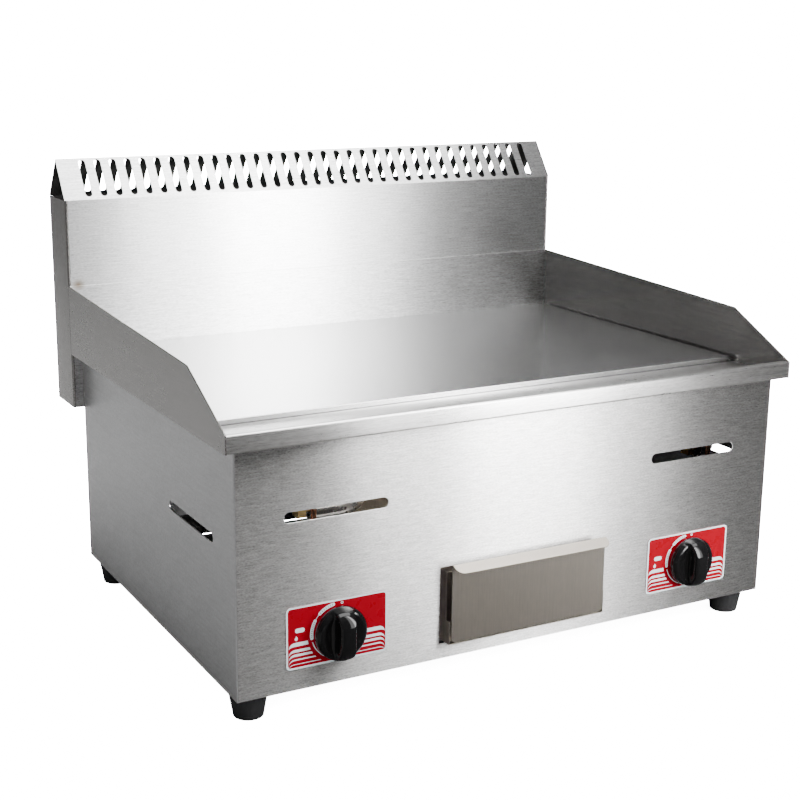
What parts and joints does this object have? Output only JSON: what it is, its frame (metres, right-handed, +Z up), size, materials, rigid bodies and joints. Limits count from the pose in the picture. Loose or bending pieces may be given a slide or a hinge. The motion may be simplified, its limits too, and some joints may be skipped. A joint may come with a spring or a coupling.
{
  "type": "flat top griddle",
  "caption": "Countertop gas flat top griddle: smooth steel plate, front grease trough and drawer, side and rear splash guards, turning knobs and a slotted rear flue.",
  "frame": {"origin": "on the surface it stands on, under the middle of the whole griddle", "axes": "+X to the user's right as they face the front, +Y to the rear, +Z up; the front faces -Y"},
  "size_m": [0.73, 0.598, 0.5489],
  "materials": {
    "brushed_cabinet": "brushed along its length, satin",
    "polished_tray": "fine satin, brighter on the folds",
    "plate_steel": "ground smooth, soft gloss",
    "flue_steel": "brushed, satin",
    "drawer_steel": "brushed upright, satin",
    "galvanised": "galvanised, dull",
    "burner_steel": "bright drawn tube",
    "zinc_fastener": "zinc plated",
    "brass": "machined",
    "gas_pipe": "dark steel pipe",
    "copper": "copper tube, slightly dulled",
    "dial_print": "red print with a pale border, soft gloss",
    "knob_black": "gloss black",
    "foot_rubber": "matt black"
  },
  "bodies": {
    "cabinet": {"base_panel": "galvanised", "burner_front_rail": "galvanised", "burner_rear_rail": "galvanised", "burner_straps": "galvanised", "drain_spout": "galvanised", "flue_base": "flue_steel", "flue_front_sheet": "flue_steel", "flue_left_end": "flue_steel", "flue_rear_sheet": "flue_steel", "flue_right_end": "flue_steel", "flue_screws": "zinc_fastener", "foot_bolts": "zinc_fastener", "foot_nuts": "zinc_fastener", "front_left_foot": "foot_rubber", "front_panel": "brushed_cabinet", "front_right_foot": "foot_rubber", "gas_feed_pipe": "gas_pipe", "gas_inlet_fitting": "brass", "gas_inlet_locknut": "brass", "gas_manifold": "gas_pipe", "griddle_plate": "plate_steel", "left_burner": "burner_steel", "left_dial_plate": "dial_print", "left_drawer_runner": "galvanised", "left_gas_tube": "copper", "left_injector": "brass", "left_side_panel": "brushed_cabinet", "left_spindle_spring": "zinc_fastener", "left_splash_guard": "polished_tray", "left_valve_body": "brass", "left_valve_cap": "brass", "manifold_brackets": "galvanised", "rear_left_foot": "foot_rubber", "rear_panel": "brushed_cabinet", "rear_panel_screws": "zinc_fastener", "rear_right_foot": "foot_rubber", "rear_splash_guard": "polished_tray", "right_burner": "burner_steel", "right_dial_plate": "dial_print", "right_drawer_runner": "galvanised", "right_gas_tube": "copper", "right_injector": "brass", "right_side_panel": "brushed_cabinet", "right_spindle_spring": "zinc_fastener", "right_splash_guard": "polished_tray", "right_valve_body": "brass", "right_valve_cap": "brass", "top_tray": "polished_tray", "valve_cap_screws": "zinc_fastener", "valve_nipples": "brass"},
    "drip_drawer": {"drawer_front": "drawer_steel", "drawer_box": "drawer_steel"},
    "left_plug": {"left_valve_plug": "brass"},
    "left_control": {"left_knob": "knob_black", "left_spindle": "brass"},
    "right_plug": {"right_valve_plug": "brass"},
    "right_control": {"right_knob": "knob_black", "right_spindle": "brass"}
  },
  "joints": [
    {"name": "drawer_slide", "type": "slide", "parent": "cabinet", "child": "drip_drawer", "axis": [0, -1, 0], "range_m": [-0.012, 0.32]},
    {"name": "left_knob_turn", "type": "hinge", "parent": "cabinet", "child": "left_plug", "pos_m": [-0.2353, -0.243, 0.0902], "axis": [0, -1, 0], "range_deg": [0, 180]},
    {"name": "left_knob_push", "type": "slide", "parent": "left_plug", "child": "left_control", "axis": [0, 1, 0], "range_m": [0, 0.003], "stiffness_N_per_m": 600, "springref_m": -0.004, "deforming": ["left_spindle_spring"]},
    {"name": "right_knob_turn", "type": "hinge", "parent": "cabinet", "child": "right_plug", "pos_m": [0.2353, -0.243, 0.0902], "axis": [0, -1, 0], "range_deg": [0, 180]},
    {"name": "right_knob_push", "type": "slide", "parent": "right_plug", "child": "right_control", "axis": [0, 1, 0], "range_m": [0, 0.003], "stiffness_N_per_m": 600, "springref_m": -0.004, "deforming": ["right_spindle_spring"]}
  ]
}
